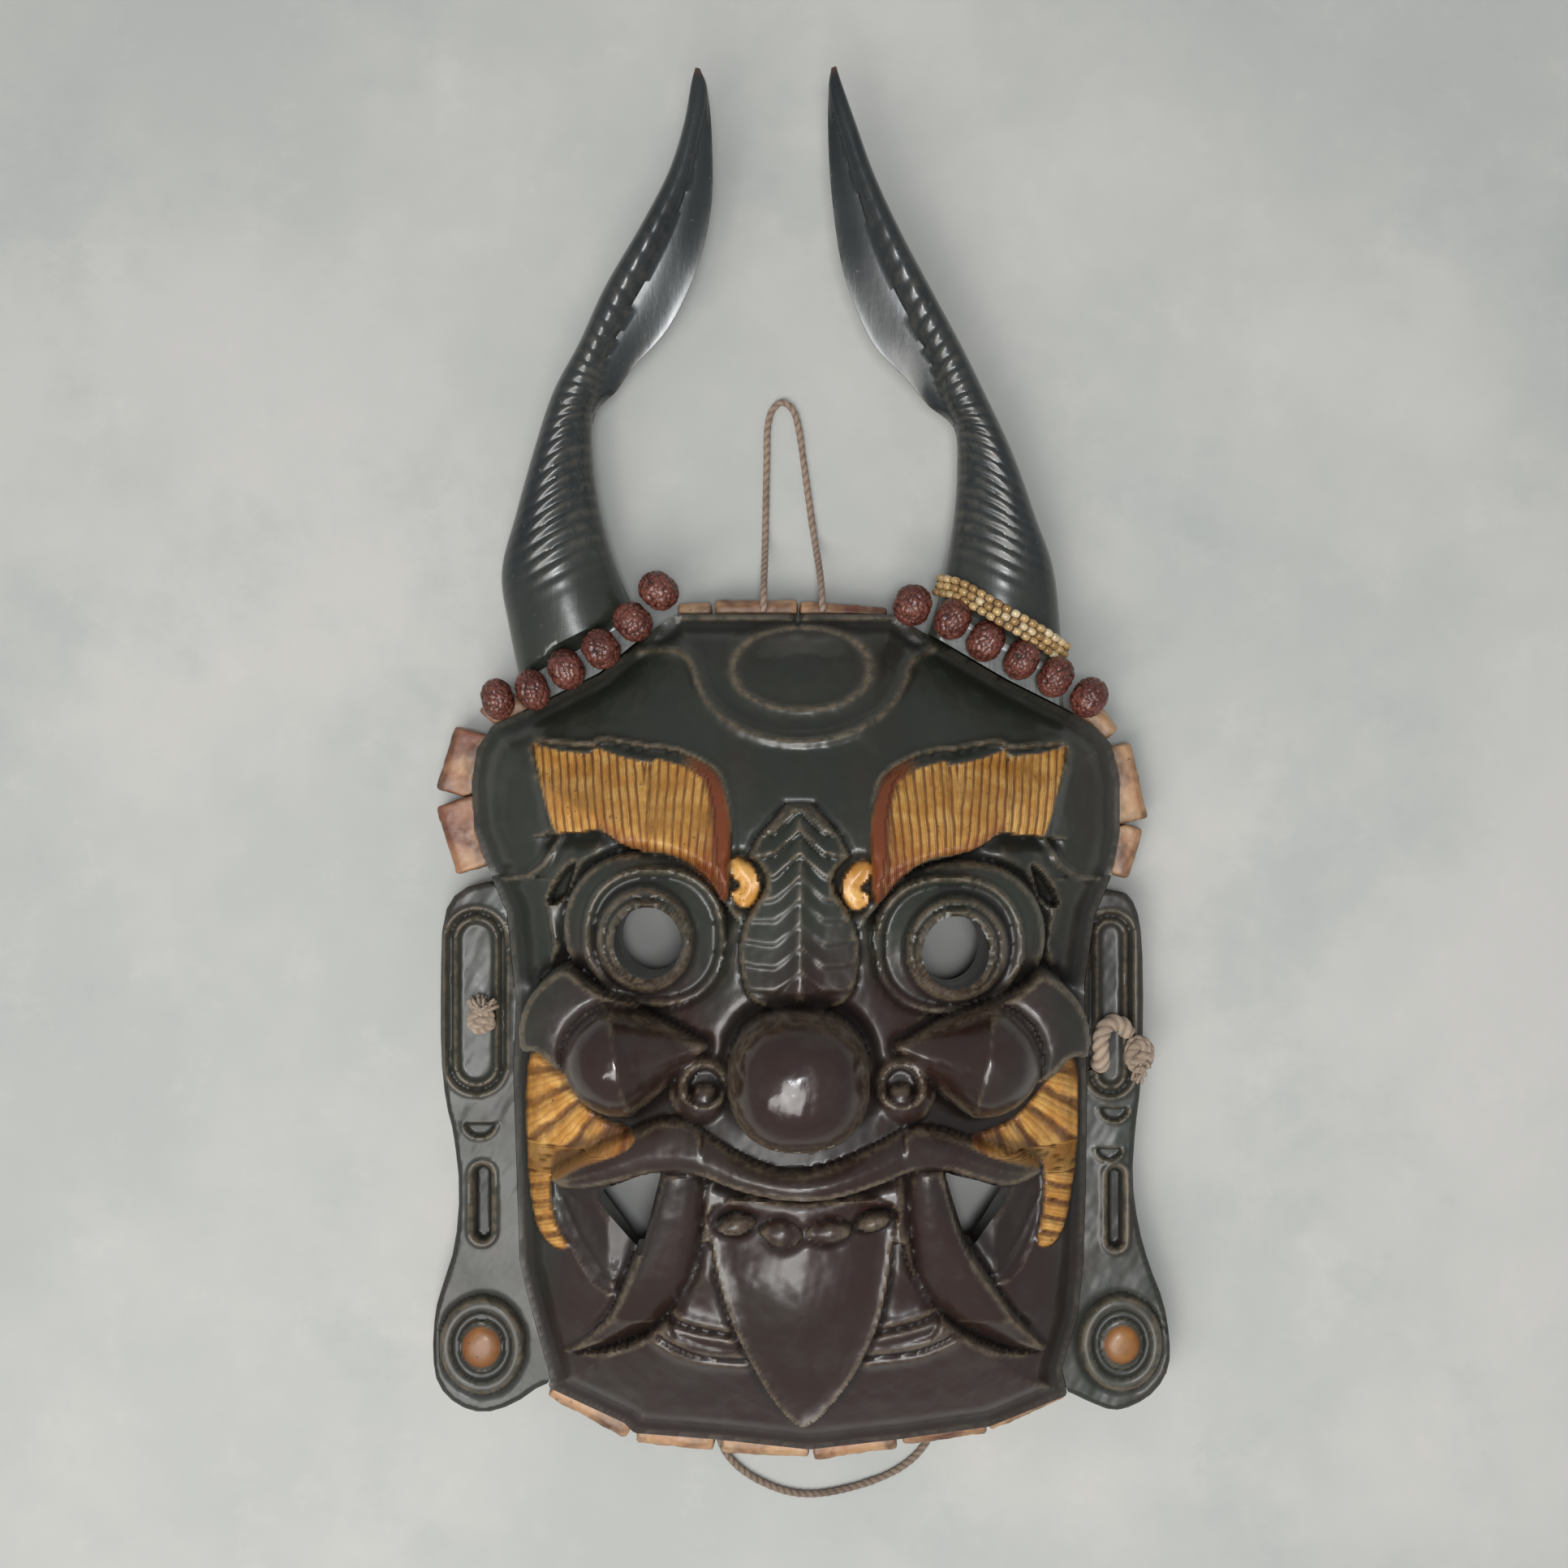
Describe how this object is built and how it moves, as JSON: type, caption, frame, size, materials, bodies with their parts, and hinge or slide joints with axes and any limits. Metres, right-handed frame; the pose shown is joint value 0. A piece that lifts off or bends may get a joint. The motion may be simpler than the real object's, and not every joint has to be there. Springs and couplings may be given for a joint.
{
  "type": "cham dance mask",
  "caption": "Carved wooden wrathful face mask with two tall horns, a third eye, curled tusks, long ears, strung seeds, bone plates round the rim and cords to hang it by.",
  "frame": {"origin": "middle of the mask seen from the front, on the plane of its flat back rim, measured without the cords", "axes": "+X to the viewer's right, +Y up the face towards the horn tips, +Z out of the face; the mask lies on its back"},
  "size_m": [0.2918, 0.5651, 0.126],
  "materials": {
    "wood": "carved, stained near black and waxed, worn at the edges",
    "ear_wood": "carved, stained dark, dull, worn at the edges",
    "horn": "scraped and polished horn",
    "seed": "oiled rudraksha seeds",
    "glass_beads": "amber and brown glass seed beads, dusty",
    "bone": "smoked bone, yellow to red-brown",
    "string": "twisted fibre cord",
    "jute": "laid jute, knotted"
  },
  "bodies": {
    "root": {"face": "wood", "ear_left": "ear_wood", "ear_right": "ear_wood", "horn_left": "horn", "horn_right": "horn", "seed_band": "glass_beads", "bead_left_1": "seed", "bead_left_2": "seed", "bead_left_3": "seed", "bead_left_4": "seed", "bead_left_5": "seed", "bead_left_6": "seed", "bead_right_1": "seed", "bead_right_2": "seed", "bead_right_3": "seed", "bead_right_4": "seed", "bead_right_5": "seed", "bead_right_6": "seed", "plate_top_1": "bone", "plate_top_2": "bone", "plate_top_3": "bone", "plate_right_1": "bone", "plate_right_2": "bone", "plate_right_3": "bone", "plate_bottom_6": "bone", "plate_bottom_5": "bone", "plate_bottom_4": "bone", "plate_bottom_3": "bone", "plate_bottom_2": "bone", "plate_bottom_1": "bone", "plate_left_3": "bone", "plate_left_2": "bone", "plate_left_1": "bone", "tie_left": "jute", "tie_right": "jute", "cord_hang": "string", "cord_chin": "string"}
  },
  "joints": []
}
